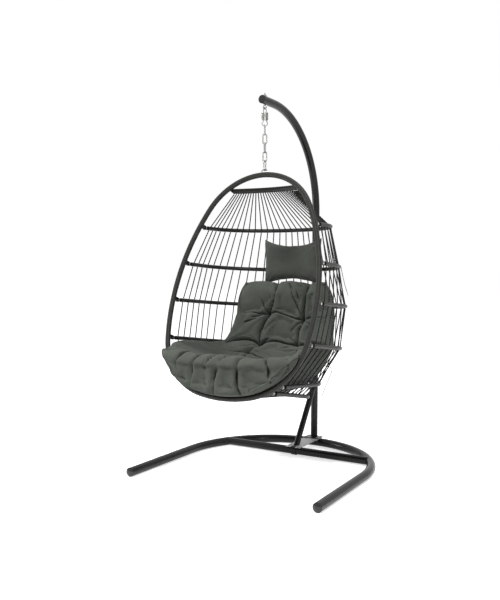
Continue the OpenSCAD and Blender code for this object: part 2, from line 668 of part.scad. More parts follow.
// Eye on top of the hoop, its legs cut to the round of the tube
module hoop_eye() {
    color(zinc) difference() {
        union() {
            in_eye() translate([0, 0, eye_up - eye_r]) rotate([90, 0, 0]) bent_tube(eye_r, 0, 180, link_r);
            eye_legs(link_r);
        }
        in_hoop() hoop_ring(0, 0, hoop_r + weld_gap);
    }
}

// A pair of ears at each rib end and a plain lug at each end of the top bar, cut to the wrap's round
module rib_lugs() {
    color(steel) in_hoop() for (s = [0, 1]) {
        for (k = [2 : 7]) difference() {
            for (x = [-eye_plate_t / 2 - side_gap - ear_t, eye_plate_t / 2 + side_gap])
                lug(rib_x(k) + x, rib_d_down(k), s, ear_t, ear_r);
            hoop_ring(rib_d_down(k), s, wrap_r + weld_gap);
            mirror([s, 0, 0]) translate([rib_x(k) - 20, pivot_back, -rib_d_down(k)]) rotate([0, 90, 0])
                cylinder(r = pivot_r + run_gap, h = 40);
        }
        difference() {
            lug(top_x - top_lug_t / 2, top_d, s, top_lug_t, top_r);
            hoop_ring(top_d, s, wrap_r + weld_gap);
        }
    }
}

module lug(x, d, side, t, r) {
    mirror([side, 0, 0]) translate([x, pivot_back, -d]) rotate([90, 0, 90]) linear_extrude(t) ear_outline(r);
}

module ear_outline(r) {
    circle(r = r);
    translate([-pivot_back, -r]) square([pivot_back, 2 * r]);
}

// Pivot bolts with domed heads outboard and washers under them
module pivot_bolts() {
    dome_r = (pow(6, 2) + pow(head_h, 2)) / (2 * head_h);
    color(zinc) in_hoop() for (k = [2 : 7]) for (s = [0, 1]) mirror([s, 0, 0])
        translate([rib_x(k), pivot_back, -rib_d_down(k)]) rotate([0, 90, 0]) {
            translate([0, 0, -ear_out - 7]) cylinder(r = pivot_r, h = 2 * ear_out + 8);
            translate([0, 0, ear_out + weld_gap]) cylinder(r = 8, h = washer_t);
            intersection() {
                translate([0, 0, ear_out + weld_gap + washer_t + head_h - dome_r]) sphere(r = dome_r, $fn = 48);
                translate([0, 0, ear_out + washer_t]) cylinder(r = 6, h = head_h + 2);
            }
        }
}

module pivot_nuts() {
    color(zinc) in_hoop() for (k = [2 : 7]) for (s = [0, 1]) mirror([s, 0, 0])
        translate([rib_x(k) - ear_out - weld_gap - 5, pivot_back, -rib_d_down(k)]) rotate([0, 90, 0])
            hex_nut(10, 5, pivot_r + run_gap);
}

module top_bar_path(r, r_in) {
    cut = top_lug_t / 2 + weld_gap;
    translate(hoop_point(0, top_d, pivot_back)) intersection() {
        translate([0, top_bar_bow - top_arc_r, 0])
            bent_tube(top_arc_r, 90 - top_half_angle - 1, 90 + top_half_angle + 1, r, r_in);
        translate([-top_x + cut, -100, -50]) cube([2 * (top_x - cut), 200, 100]);
    }
}

module top_bar() {
    color(steel) top_bar_path(top_r, top_r - basket_wall);
}

module top_bar_wrap() {
    color(wicker) top_bar_path(top_wrap_r, top_r + weld_gap);
}

// Rib: a bent tube between two eye plates, in its own plane. Its bends meet at hairline seams
module rib_shape(k) {
    w = rib_x(k);
    cr = corner_r(k);
    br = back_r(k);
    in_r = rib_r - basket_wall;
    translate([0, rib_depth(k) - br, 0]) bent_length(br, corner_turn, 180 - corner_turn, rib_r, in_r);
    for (s = [0, 1]) mirror([s, 0, 0]) {
        rod([w, eye_plate_len, 0], [w, rib_leg(k) - 0.01, 0], rib_r, in_r);
        translate([w - cr, rib_leg(k), 0]) bent_length(cr, 0, corner_turn, rib_r, in_r);
        difference() {
            union() {
                translate([w - eye_plate_t / 2, 0, 0]) rotate([90, 0, 90]) linear_extrude(eye_plate_t) {
                    circle(r = eye_plate_r);
                    translate([0, -in_r + 1]) square([eye_plate_len + 4, 2 * in_r - 2]);
                }
                rod([w, eye_plate_len, 0], [w, eye_plate_len + 12, 0], in_r - weld_gap);
            }
            translate([w - 10, 0, 0]) rotate([0, 90, 0]) cylinder(r = pivot_r + run_gap, h = 20);
        }
    }
}

// A bent tube that stops a hairline short of its neighbours
module bent_length(bend, a0, a1, r, r_in = 0) {
    seam = 0.01 / bend * 180 / PI;
    bent_tube(bend, a0 + seam, a1 - seam, r, r_in);
}

module rib(k) {
    color(wicker) translate(rib_pivot(k)) rotate([-rib_tilt(k), 0, 0]) rib_shape(k);
}

module rib_2() { rib(2); }
module rib_3() { rib(3); }
module rib_4() { rib(4); }
module rib_5() { rib(5); }
module rib_6() { rib(6); }
module rib_7() { rib(7); }

// Wicker wound round a rib from its eye plates on, in the rib's own lengths
module rib_wrap(k) {
    w = rib_x(k);
    cr = corner_r(k);
    br = back_r(k);
    in_r = rib_r + weld_gap;
    color(wicker) translate(rib_pivot(k)) rotate([-rib_tilt(k), 0, 0]) {
        translate([0, rib_depth(k) - br, 0]) bent_length(br, corner_turn, 180 - corner_turn, rib_wrap_r, in_r);
        for (s = [0, 1]) mirror([s, 0, 0]) {
            rod([w, eye_plate_len + 2, 0], [w, rib_leg(k) - 0.01, 0], rib_wrap_r, in_r);
            translate([w - cr, rib_leg(k), 0]) bent_length(cr, 0, corner_turn, rib_wrap_r, in_r);
        }
    }
}

module rib_wrap_2() { rib_wrap(2); }
module rib_wrap_3() { rib_wrap(3); }
module rib_wrap_4() { rib_wrap(4); }
module rib_wrap_5() { rib_wrap(5); }
module rib_wrap_6() { rib_wrap(6); }
module rib_wrap_7() { rib_wrap(7); }

// The strands of one panel, from rib k to the next one down
module strands(k) {
    color(wicker) for (j = [0 : strand_count - 1]) {
        a = strand_at(k, j);
        b = strand_at(k + 1, j);
        way = unit(b - a);
        rod(a + strand_stop(k, j, way) * way, b - strand_stop(k + 1, j, way) * way, strand_r);
    }
}

module strands_1() { strands(1); }
module strands_2() { strands(2); }
module strands_3() { strands(3); }
module strands_4() { strands(4); }
module strands_5() { strands(5); }
module strands_6() { strands(6); }

module seat_strands() {
    color(wicker) for (j = [0 : seat_count - 1]) {
        start = tube_stop(rib_wrap_r, seat_way(j), unit(rib_along(7, seat_u(j))));
        stop = tube_stop(wrap_r, seat_way(j), hoop_along(seat_x(j)));
        rod(seat_start(j) + start * seat_way(j), seat_end(j) - stop * seat_way(j), strand_r);
    }
}

// ---- cushions ----

module cushion() {
    color(fabric) translate([0, hoop_y, hoop_z]) difference() {
        skin(cushion_rings(0));
        skin(cushion_rings(cover_t));
    }
}

module head_pillow() {
    color(fabric) translate([pillow_x, hoop_y + pillow_at[0], hoop_z + pillow_at[1]])
        rotate([0, 0, pillow_yaw]) difference() {
        skin(pillow_rings(0));
        skin(pillow_rings(cover_t));
    }
}

module pillow_tie() {
    color(fabric) translate([0, hoop_y, hoop_z]) swept(pillow_tie_points, pillow_tie_d / 2, tie_sides);
}

module cushion_tie() {
    color(fabric) translate([0, hoop_y, hoop_z]) swept(cushion_tie_points, cushion_tie_d / 2, tie_sides);
}

base_rail();
foot_caps();
crossbar();
base_plate();
crossbar_strap();
post();
plate_bolts();
brace();
arm();
arm_bolts();
arm_cap();
eye_bolt();
eye_nuts();
spring_upper_bail();
coil_spring();
spring_lower_bail();
chain_link_1();
chain_link_2();
chain_link_3();
chain_link_4();
chain_link_5();
hoop();
hoop_wrap();
hoop_eye();
rib_lugs();
pivot_bolts();
pivot_nuts();
top_bar();
top_bar_wrap();
rib_2();
rib_3();
rib_4();
rib_5();
rib_6();
rib_7();
rib_wrap_2();
rib_wrap_3();
rib_wrap_4();
rib_wrap_5();
rib_wrap_6();
rib_wrap_7();
strands_1();
strands_2();
strands_3();
strands_4();
strands_5();
strands_6();
seat_strands();
cushion();
head_pillow();
pillow_tie();
cushion_tie();
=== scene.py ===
"""Dressed model of a hanging egg chair: a strand-woven basket under a bent arm, with a tufted cushion.
Lengths are metres in the frame of the solids, unless a name or a comment says millimetres."""
import bmesh
import bpy
import json
import math
import numpy as np
from mathutils import Matrix, Vector, noise


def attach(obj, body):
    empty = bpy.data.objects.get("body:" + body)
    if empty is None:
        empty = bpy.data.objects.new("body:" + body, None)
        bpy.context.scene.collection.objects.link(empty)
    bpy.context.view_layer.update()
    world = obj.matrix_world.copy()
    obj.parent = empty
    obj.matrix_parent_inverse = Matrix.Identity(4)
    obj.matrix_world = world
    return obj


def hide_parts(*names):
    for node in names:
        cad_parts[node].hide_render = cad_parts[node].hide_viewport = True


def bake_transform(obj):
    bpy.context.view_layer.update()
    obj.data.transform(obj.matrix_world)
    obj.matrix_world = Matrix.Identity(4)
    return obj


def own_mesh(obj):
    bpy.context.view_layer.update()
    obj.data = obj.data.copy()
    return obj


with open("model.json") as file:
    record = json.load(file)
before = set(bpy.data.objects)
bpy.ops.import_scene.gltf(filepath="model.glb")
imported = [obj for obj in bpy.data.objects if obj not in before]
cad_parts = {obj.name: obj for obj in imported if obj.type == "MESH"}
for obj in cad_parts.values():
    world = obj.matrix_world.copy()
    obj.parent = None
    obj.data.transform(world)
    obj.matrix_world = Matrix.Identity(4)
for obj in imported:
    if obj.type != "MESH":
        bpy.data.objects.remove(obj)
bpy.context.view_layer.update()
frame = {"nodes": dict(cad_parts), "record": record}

# ---------------------------------------------------------------- camera, fitted to the photograph
AZIMUTH, ELEVATION = math.radians(30.68), math.radians(5.21)
EYE = (1.7995, -3.2641, 1.0571)
LENS_MM, SENSOR_MM = 42.0, 36.0
RAISED_PX, PICTURE_HEIGHT_PX = 34.6, 600


def photo_camera():
    look = Vector((-math.sin(AZIMUTH) * math.cos(ELEVATION), math.cos(AZIMUTH) * math.cos(ELEVATION),
                   -math.sin(ELEVATION)))
    data = bpy.data.cameras.new("camera")
    data.sensor_fit = 'AUTO'
    data.sensor_width = SENSOR_MM
    data.lens = LENS_MM
    data.shift_y = RAISED_PX / PICTURE_HEIGHT_PX
    data.clip_end = 60
    camera = bpy.data.objects.new("camera", data)
    camera.location = EYE
    camera.rotation_euler = look.to_track_quat('-Z', 'Y').to_euler()
    bpy.context.scene.collection.objects.link(camera)
    bpy.context.scene.camera = camera


photo_camera()
bpy.context.scene.view_settings.view_transform = 'Standard'


# ---------------------------------------------------------------- node helpers
def new_material(name):
    """Material with an emptied node tree: the material, the tree and its output node."""
    material = bpy.data.materials.new(name)
    material.use_nodes = True
    nt = material.node_tree
    nt.nodes.clear()
    return material, nt, nt.nodes.new("ShaderNodeOutputMaterial")


def node(nt, kind, **values):
    """New node, whose values are inputs where it has one of that name, and settings otherwise."""
    made = nt.nodes.new(kind)
    for key, value in values.items():
        if key in made.inputs:
            made.inputs[key].default_value = value
        else:
            setattr(made, key, value)
    return made


def joined(nt, operation, first, second):
    made = node(nt, "ShaderNodeMath", operation=operation)
    nt.links.new(first, made.inputs[0])
    nt.links.new(second, made.inputs[1])
    return made.outputs[0]


def multiplied(nt, first, second):
    """Product of two colours."""
    made = node(nt, "ShaderNodeMix", data_type='RGBA', blend_type='MULTIPLY')
    made.inputs[0].default_value = 1.0
    nt.links.new(first, made.inputs[6])
    nt.links.new(second, made.inputs[7])
    return made.outputs[2]


def ramp(nt, amount, low, high, low_at=0.0, high_at=1.0):
    """Colour that runs from low to high while the amount goes from low_at to high_at."""
    made = nt.nodes.new("ShaderNodeValToRGB")
    for stop, colour, at in zip(made.color_ramp.elements, (low, high), (low_at, high_at)):
        stop.position = at
        stop.color = (*colour, 1)
    nt.links.new(amount, made.inputs["Fac"])
    return made.outputs["Color"]


def cloudy(nt, where, scale, detail):
    made = node(nt, "ShaderNodeTexNoise", Scale=scale, Detail=detail)
    nt.links.new(where, made.inputs["Vector"])
    return made.outputs["Fac"]


def mapped(nt, where, **values):
    made = node(nt, "ShaderNodeMapping", **values)
    nt.links.new(where, made.inputs["Vector"])
    return made.outputs["Vector"]


def mixed(nt, amount, first, second):
    """Shader that goes from the first to the second as the amount goes from 0 to 1."""
    made = nt.nodes.new("ShaderNodeMixShader")
    for n, source in enumerate((amount, first, second)):
        nt.links.new(source, made.inputs[n])
    return made.outputs[0]


def seen_mask(nt):
    """1 where the eye sees the backdrop: straight, mirrored or through glass."""
    rays = nt.nodes.new("ShaderNodeLightPath").outputs
    straight = joined(nt, 'MAXIMUM', rays["Is Camera Ray"], rays["Is Transmission Ray"])
    return joined(nt, 'MAXIMUM', straight, rays["Is Glossy Ray"])


# ---------------------------------------------------------------- light and stage
WORLD_LIGHT = 0.20
FLOOR_HALF = 30
FLOOR_PALE = (0.92, 0.92, 0.92, 1)
# the floor's glow, from near the object, where its shadow falls, to far off, where it meets the white
GLOW_FROM, GLOW_TO = 1.0, 3.0
GLOW_NEAR, GLOW_FAR = 0.62, 0.98
WHITE = (1, 1, 1, 1)


def plain_world():
    world = bpy.data.worlds.new("studio")
    bpy.context.scene.world = world
    world.use_nodes = True
    nt = world.node_tree
    nt.nodes.clear()
    out = nt.nodes.new("ShaderNodeOutputWorld")
    back = node(nt, "ShaderNodeBackground", Color=WHITE, Strength=1.0)
    light = node(nt, "ShaderNodeBackground", Color=WHITE, Strength=WORLD_LIGHT)
    nt.links.new(mixed(nt, seen_mask(nt), light.outputs[0], back.outputs[0]), out.inputs[0])


def lamp(name, where, at, size, power, mirrored=True):
    """Round lamp; one that isn't mirrored leaves no bright spot on the glossy tubes."""
    data = bpy.data.lights.new(name, 'AREA')
    data.shape = 'DISK'
    data.size = size
    data.energy = power
    obj = bpy.data.objects.new(name, data)
    obj.location = where
    obj.visible_glossy = mirrored
    obj.rotation_euler = (Vector(at) - Vector(where)).to_track_quat('-Z', 'Y').to_euler()
    bpy.context.scene.collection.objects.link(obj)


def floor_material():
    """White to the eye, with the object's shadow kept."""
    material, nt, out = new_material("floor")
    matt = node(nt, "ShaderNodeBsdfDiffuse", Color=FLOOR_PALE)
    glow = node(nt, "ShaderNodeEmission", Color=WHITE)
    place = nt.nodes.new("ShaderNodeNewGeometry")
    distance = node(nt, "ShaderNodeVectorMath", operation='LENGTH')
    strength = node(nt, "ShaderNodeMapRange", **{"From Min": GLOW_FROM, "From Max": GLOW_TO,
                                                 "To Min": GLOW_NEAR, "To Max": GLOW_FAR})
    nt.links.new(place.outputs["Position"], distance.inputs[0])
    nt.links.new(distance.outputs["Value"], strength.inputs["Value"])
    nt.links.new(strength.outputs["Result"], glow.inputs["Strength"])
    lit = nt.nodes.new("ShaderNodeAddShader")
    nt.links.new(matt.outputs[0], lit.inputs[0])
    nt.links.new(glow.outputs[0], lit.inputs[1])
    nt.links.new(mixed(nt, seen_mask(nt), matt.outputs[0], lit.outputs[0]), out.inputs[0])
    return material


def pale_floor():
    mesh = bpy.data.meshes.new("floor")
    bm = bmesh.new()
    bmesh.ops.create_grid(bm, x_segments=1, y_segments=1, size=FLOOR_HALF)
    bm.to_mesh(mesh)
    bm.free()
    mesh.materials.append(floor_material())
    floor = bpy.data.objects.new("floor", mesh)
    bpy.context.scene.collection.objects.link(floor)


plain_world()
lamp("key", (-1.9, -2.0, 4.6), (0, -0.2, 0.8), 1.2, 230, mirrored=False)
lamp("fill", (2.9, -3.3, 2.2), (0, 0, 0.9), 0.7, 30)
lamp("rim", (1.6, 3.2, 3.4), (0, 0, 1.1), 1.0, 60, mirrored=False)
lamp("strip", (1.2, -1.8, 4.4), (0, 0, 0), 0.30, 90)
lamp("side", (-3.4, -1.2, 1.3), (0, 0, 1.0), 0.8, 22)
pale_floor()


# ---------------------------------------------------------------- materials
def with_fold_shade(nt, colour):
    """The colour with painted shade: darker in the creases of a mesh, where shade falls."""
    bend = nt.nodes.new("ShaderNodeNewGeometry").outputs["Pointiness"]
    return multiplied(nt, colour, ramp(nt, bend, (0.30,) * 3, (1, 1, 1), 0.45, 0.497))


def surface(name, base, rough, metal=0.0, spread=0.12, patch=9.0, grain=None, bump=0.0,
            sheen=0.0, rough_spread=0.06, spec=0.5, painted_shade_in_folds=False):
    """Principled surface: the colour varies in soft patches, the roughness with a finer noise, and
    grain(nt, where) gives the height of the bump and a colour to multiply by, or None."""
    material, nt, out = new_material(name)
    skin = node(nt, "ShaderNodeBsdfPrincipled", **{
        "Metallic": metal, "Sheen Weight": sheen, "Sheen Roughness": 0.5, "Specular IOR Level": spec})
    where = nt.nodes.new("ShaderNodeTexCoord").outputs["Object"]
    colour = ramp(nt, cloudy(nt, where, patch, 3.0), [c * (1 - spread) for c in base],
                  [c * (1 + spread) for c in base], 0.3, 0.7)
    span = node(nt, "ShaderNodeMapRange", **{"To Min": max(rough - rough_spread, 0.03),
                                             "To Max": rough + rough_spread})
    nt.links.new(cloudy(nt, where, patch * 6, 2.0), span.inputs["Value"])
    nt.links.new(span.outputs["Result"], skin.inputs["Roughness"])
    if grain:
        height, shade = grain(nt, where)
        relief = node(nt, "ShaderNodeBump", Strength=1.0, Distance=bump)
        nt.links.new(height, relief.inputs["Height"])
        nt.links.new(relief.outputs["Normal"], skin.inputs["Normal"])
        if shade is not None:
            colour = multiplied(nt, colour, shade)
    # painted shade: the colour is darkened in the mesh's creases
    if painted_shade_in_folds:
        colour = with_fold_shade(nt, colour)
    nt.links.new(colour, skin.inputs["Base Color"])
    nt.links.new(skin.outputs[0], out.inputs[0])
    return material


def peel(nt, where):
    """Orange peel of a powder coat."""
    return cloudy(nt, where, 420.0, 2.0), None


def scuffs(nt, where):
    return cloudy(nt, where, 160.0, 5.0), None


def streaks(nt, where):
    """Fine lines that run up and down."""
    lines = cloudy(nt, mapped(nt, where, Scale=(900, 900, 30)), 1.0, 3.0)
    return lines, ramp(nt, lines, (0.72, 0.72, 0.72), (1.15, 1.15, 1.12), 0.35, 0.65)


def ply_ridges_painted_light(nt, where):
    """Two plies laid round each other: slanting ridges every 13 mm, as a bump and as painted light and
    shade, with the colour lighter on the ridges and darker between them.
    """
    wave = node(nt, "ShaderNodeTexWave", Scale=24.2, Distortion=0.0, bands_direction='Z')
    nt.links.new(mapped(nt, where, Rotation=(0.0, 0.5, 0.0)), wave.inputs["Vector"])
    return wave.outputs["Fac"], ramp(nt, wave.outputs["Fac"], (0.55, 0.55, 0.55), (1.5, 1.5, 1.45))


def weave(nt, where):
    """Plain weave: two sets of threads that cross, with slubs."""
    threads = []
    for turn in ((0.0, 0.0, 0.6), (0.9, 0.0, -0.5)):
        wave = node(nt, "ShaderNodeTexWave", Scale=300.0, Distortion=0.6, Detail=1.0,
                    **{"Detail Scale": 2.0})
        nt.links.new(mapped(nt, where, Rotation=turn), wave.inputs["Vector"])
        threads.append(wave.outputs["Fac"])
    crossed = joined(nt, 'MAXIMUM', *threads)
    height = joined(nt, 'ADD', crossed, cloudy(nt, where, 700.0, 2.0))
    part = node(nt, "ShaderNodeMath", operation='MULTIPLY')
    part.inputs[1].default_value = 0.6
    nt.links.new(height, part.inputs[0])
    return height, ramp(nt, part.outputs[0], (0.82, 0.82, 0.82), (1.06, 1.06, 1.05), 0.5, 1.0)


METAL = dict(metal=1.0, spread=0.08, patch=60, grain=scuffs, bump=0.00004)
# the cloth's colour carries painted shade in its creases
CLOTH = dict(spread=0.07, patch=7, grain=weave, bump=0.00012, sheen=0.06, rough_spread=0.04, spec=0.08,
             painted_shade_in_folds=True)
TUBE = dict(grain=peel, bump=0.00006)
coat_black = surface("powder_coat", (0.0085, 0.0088, 0.0078), 0.22, spec=0.22, **TUBE)
rib_black = surface("rib_coat", (0.0100, 0.0104, 0.0092), 0.32, spec=0.20, **TUBE)
plate_grey = surface("plate_coat", (0.50, 0.51, 0.52), 0.42, grain=peel, bump=0.00005)
plastic = surface("cap_plastic", (0.005, 0.005, 0.005), 0.12, grain=scuffs, bump=0.00006)
zinc = surface("zinc", (0.30, 0.30, 0.285), 0.26, **METAL)
spring_zinc = surface("spring_zinc", (0.26, 0.26, 0.245), 0.30, **METAL)
wicker = surface("wicker", (0.0180, 0.0184, 0.0158), 0.42, spread=0.18, patch=25, grain=streaks,
                 bump=0.00025, spec=0.22)
# the strands' colour carries painted highlights and shade along the slanting ply ridges
cord_wicker = surface("strand_wicker", (0.0085, 0.0088, 0.0076), 0.5, spread=0.18, patch=25,
                      grain=ply_ridges_painted_light, bump=0.0012, spec=0.15)
cloth = surface("cushion_cloth", (0.074, 0.081, 0.070), 0.86, **CLOTH)
pillow_cloth = surface("pillow_cloth", (0.074, 0.080, 0.070), 0.86, **CLOTH)
thread = surface("tie_cloth", (0.016, 0.017, 0.015), 0.8, grain=weave, bump=0.0002, sheen=0.1, spec=0.2)

SLOTS = {"black_steel": coat_black, "plate_steel": plate_grey, "black_plastic": plastic,
         "zinc_steel": zinc, "spring_steel": spring_zinc, "rib_steel": rib_black, "wicker": wicker,
         "cushion_fabric": cloth, "pillow_fabric": pillow_cloth}


def painted(obj, material):
    if not obj.material_slots:
        obj.data.materials.append(material)
    for slot in obj.material_slots:
        slot.material = material


for part in frame["record"]["subparts"]:
    strand = "strands" in part["node"]
    painted(frame["nodes"][part["node"]], cord_wicker if strand else SLOTS[part["material_slot"]])


# ---------------------------------------------------------------- pieces and the hoop's plane
TILT = math.radians(19.6)  # of the hoop's plane, its foot towards the front
TOP = Vector((0, -0.0953122, 1.54602))  # crown of the hoop's middle line
AHEAD = Vector((0, -math.cos(TILT), math.sin(TILT)))  # square to that plane, towards the front


def add_piece(name, bm, body, material):
    mesh = bpy.data.meshes.new(name)
    bm.to_mesh(mesh)
    bm.free()
    mesh.polygons.foreach_set("use_smooth", [True] * len(mesh.polygons))
    mesh.materials.append(material)
    obj = bpy.data.objects.new(name, mesh)
    bpy.context.scene.collection.objects.link(obj)
    if body:
        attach(obj, body)
    return obj


def filled(verts, faces):
    """New bmesh from lists of points and faces."""
    mesh = bpy.data.meshes.new("draft")
    mesh.from_pydata(verts, [], faces)
    bm = bmesh.new()
    bm.from_mesh(mesh)
    bpy.data.meshes.remove(mesh)
    return bm


def folds_flat(obj):
    """Soft piece that can't follow the folding ribs: it gets its own copy of its mesh."""
    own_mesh(obj)


# ---------------------------------------------------------------- hoop's wound wicker
# right half from the crown down, in mm and degrees: radius, first and last angle from the crown.
# A last arc, centred on the middle line, closes it at the bottom.
HOOP_ARCS = ((325, 0, 63), (1130, 63, 100), (328, 100, 168))
HOOP_STEP_MM = 1.6
WINDING_RADIUS, WINDING_DEPTH, WINDING_PITCH = 0.01375, 0.0013, 0.0085
WINDING_SIDES = 18
RIDGE_POWER = 2.2


def hoop_points(step):
    """Middle line of the hoop as (x, depth under the crown): the right half down, the left half up."""
    arcs, x, depth = [], 0.0, 0.0
    for r, first, last in HOOP_ARCS:
        a0, a1 = math.radians(first), math.radians(last)
        arcs.append((r, first, last, x - r * math.sin(a0), depth + r * math.cos(a0)))
        x += r * (math.sin(a1) - math.sin(a0))
        depth += r * (math.cos(a0) - math.cos(a1))
    r = x / math.sin(math.radians(last))
    arcs.append((r, last, 180, 0.0, depth + r * math.cos(math.radians(last))))
    right = []
    for r, first, last, mid_x, mid_depth in arcs:
        count = max(2, int(r * math.radians(last - first) / step))
        for i in range(count):
            a = math.radians(first + (last - first) * i / count)
            right.append((mid_x + r * math.sin(a), mid_depth - r * math.cos(a)))
    bottom = (0.0, mid_depth + r)
    left = [(-x, depth) for x, depth in reversed(right[1:])]
    return [(x / 1000, depth / 1000) for x, depth in right + [bottom] + left]


def hoop_place(x, depth):
    return TOP + Vector((x, -depth * math.sin(TILT), -depth * math.cos(TILT)))


def wound_ring(points, outward, radius, depth, pitch, sides):
    """Closed tube whose skin is a strand wound round it: a helical ridge of that depth and pitch."""
    bm = bmesh.new()
    rings, run = [], 0.0
    for i, point in enumerate(points):
        along = (points[(i + 1) % len(points)] - points[i - 1]).normalized()
        side = along.cross(outward).normalized()
        if i:
            run += (point - points[i - 1]).length
        ring = []
        for k in range(sides):
            angle = 2 * math.pi * k / sides
            phase = (run / pitch + k / sides) % 1.0
            r = radius - depth * (abs(phase - 0.5) * 2) ** RIDGE_POWER
            ring.append(bm.verts.new(point + r * (math.cos(angle) * outward + math.sin(angle) * side)))
        rings.append(ring)
    for here, ahead in zip(rings, rings[1:] + rings[:1]):
        for k in range(sides):
            after = (k + 1) % sides
            bm.faces.new((here[k], here[after], ahead[after], ahead[k]))
    bmesh.ops.recalc_face_normals(bm, faces=bm.faces)
    return bm


hoop_line = hoop_points(HOOP_STEP_MM)
winding = wound_ring([hoop_place(x, depth) for x, depth in hoop_line], (-AHEAD).normalized(),
                     WINDING_RADIUS, WINDING_DEPTH, WINDING_PITCH, WINDING_SIDES)
wrap = add_piece("hoop_winding", winding, "basket", wicker)
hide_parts("hoop_wrap")

bm = bmesh.new()
bm.from_mesh(frame["nodes"]["coil_spring"].data)
bm.transform(frame["nodes"]["coil_spring"].matrix_world)
coil = add_piece("wound_spring", bm, None, spring_zinc)
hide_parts("coil_spring")
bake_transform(coil)

# ---------------------------------------------------------------- twisted strands
STRAND_RADIUS, STRAND_PITCH = 0.0032, 0.026
STRAND_SIDES, STRAND_STEP = 8, 0.0026
WAIST = 0.74  # of a strand, as a share of its radius
SAME_PLACE = 1e5  # points per metre at which two corners count as one
ROD_END = 0.004  # length of a rod's end, whose corners give its centre


def loose_parts(places, edges):
    """Numbers of the points of each loose piece of a mesh whose corners may lie doubled."""
    owner = list(range(len(places)))

    def root(i):
        while owner[i] != i:
            owner[i] = owner[owner[i]]
            i = owner[i]
        return i

    pairs = [tuple(edge.vertices) for edge in edges]
    seen = {}
    for i, key in enumerate(map(tuple, np.round(places * SAME_PLACE).astype(int))):
        pairs.append((i, seen.setdefault(key, i)))
    for a, b in pairs:
        owner[root(a)] = root(b)
    parts = {}
    for i in range(len(places)):
        parts.setdefault(root(i), []).append(i)
    return list(parts.values())


def strand_axes(obj):
    """Ends of each straight rod in a node of the solid."""
    mesh = obj.data
    places = np.empty(len(mesh.vertices) * 3)
    mesh.vertices.foreach_get("co", places)
    turn, shift = np.array(obj.matrix_world.to_3x3()), np.array(obj.matrix_world.translation)
    places = places.reshape(-1, 3) @ turn.T + shift
    ends = []
    for numbers in loose_parts(places, mesh.edges):
        if len(numbers) < 6:
            continue
        pts = places[numbers]
        middle = (pts.min(0) + pts.max(0)) / 2
        axis = np.linalg.svd(pts - pts.mean(0), full_matrices=False)[2][0]
        along = (pts - middle) @ axis
        low_end = pts[along < along.min() + ROD_END].mean(0)
        high_end = pts[along > along.max() - ROD_END].mean(0)
        ends.append((Vector(low_end), Vector(high_end)))
    return ends


def twisted(ends, radius, pitch, sides, step):
    """Rods of two plies laid round each other."""
    verts, faces = [], []
    for a, b in ends:
        length = (b - a).length
        along = (b - a).normalized()
        u = along.cross(Vector((0.3, 1, 0.2))).normalized()
        v = along.cross(u)
        count = max(3, int(length / step))
        start = len(verts)
        for i in range(count + 1):
            s = length * i / count
            turn = 2 * math.pi * s / pitch
            for k in range(sides):
                g = 2 * math.pi * k / sides
                r = radius * (WAIST + (1 - WAIST) * abs(math.cos(g - turn)))
                verts.append(a + along * s + (u * math.cos(g) + v * math.sin(g)) * r)
        for i in range(count):
            c = start + i * sides
            for k in range(sides):
                after = (k + 1) % sides
                faces.append((c + k, c + after, c + sides + after, c + sides + k))
        faces.append(tuple(start + k for k in reversed(range(sides))))
        faces.append(tuple(start + count * sides + k for k in range(sides)))
    return filled(verts, faces)


for name in [f"strands_{k}" for k in range(1, 7)] + ["seat_strands"]:
    rods = twisted(strand_axes(frame["nodes"][name]), STRAND_RADIUS, STRAND_PITCH, STRAND_SIDES, STRAND_STEP)
    piece = add_piece("twisted_" + name, rods, "basket", cord_wicker)
    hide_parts(name)
    folds_flat(piece)

# ---------------------------------------------------------------- cushion's plain skin, as in the solid
# from the front edge to the top edge, in mm: the middle line's (y, z) from the crown at the middle
# and at the sides, then half the width, then the thickness
STATIONS = [
    [(-425, -1010), (-412, -956), 265, 56], [(-412, -1015), (-395, -936), 300, 138],
    [(-391, -1008), (-375, -918), 319, 136], [(-370, -1006), (-366, -900), 356, 146],
    [(-333, -1020), (-318, -884), 358, 146], [(-295, -1035), (-285, -864), 366, 142],
    [(-205, -1042), (-205, -858), 374, 134], [(-105, -1054), (-115, -866), 376, 132],
    [(-5, -1060), (-30, -878), 368, 132], [(78, -1048), (52, -894), 354, 132],
    [(148, -1012), (122, -888), 338, 132], [(203, -953), (165, -866), 322, 132],
    [(237, -884), (193, -826), 306, 130], [(254, -810), (222, -770), 298, 126],
    [(260, -735), (238, -705), 292, 122], [(256, -665), (240, -650), 286, 116],
    [(248, -605), (238, -602), 272, 100], [(244, -574), (238, -574), 247, 50]]
TABLE = np.array([[*middle, *sides, w, t] for middle, sides, w, t in STATIONS], float)
ROWS, COLS = 280, 300
CAPS = 8  # rows in which each end closes to a line
CAP_BULGE_MM = 8
SECTION_POWER = 0.8  # below 1, so that the sides of a section are fuller than an ellipse's


def eased(x):
    x = np.clip(x, 0, 1)
    return x * x * (3 - 2 * x)


def mirrored_columns(count):
    """Column on the other face of a ring, over against each column."""
    return (-np.arange(count)) % count


def spline_rows(u):
    """Catmull-Rom rows of the station table at the stations u, and their slopes."""
    n = len(TABLE)
    i = np.clip(u.astype(int), 0, n - 2)
    f = (u - i)[:, None]
    p0, p1, p2, p3 = (TABLE[np.clip(i + k, 0, n - 1)] for k in (-1, 0, 1, 2))
    val = 0.5 * (2 * p1 + (p2 - p0) * f + (2 * p0 - 5 * p1 + 4 * p2 - p3) * f ** 2
                 + (3 * p1 - p0 - 3 * p2 + p3) * f ** 3)
    slope = 0.5 * ((p2 - p0) + 2 * (2 * p0 - 5 * p1 + 4 * p2 - p3) * f
                   + 3 * (3 * p1 - p0 - 3 * p2 + p3) * f ** 2)
    return val, slope


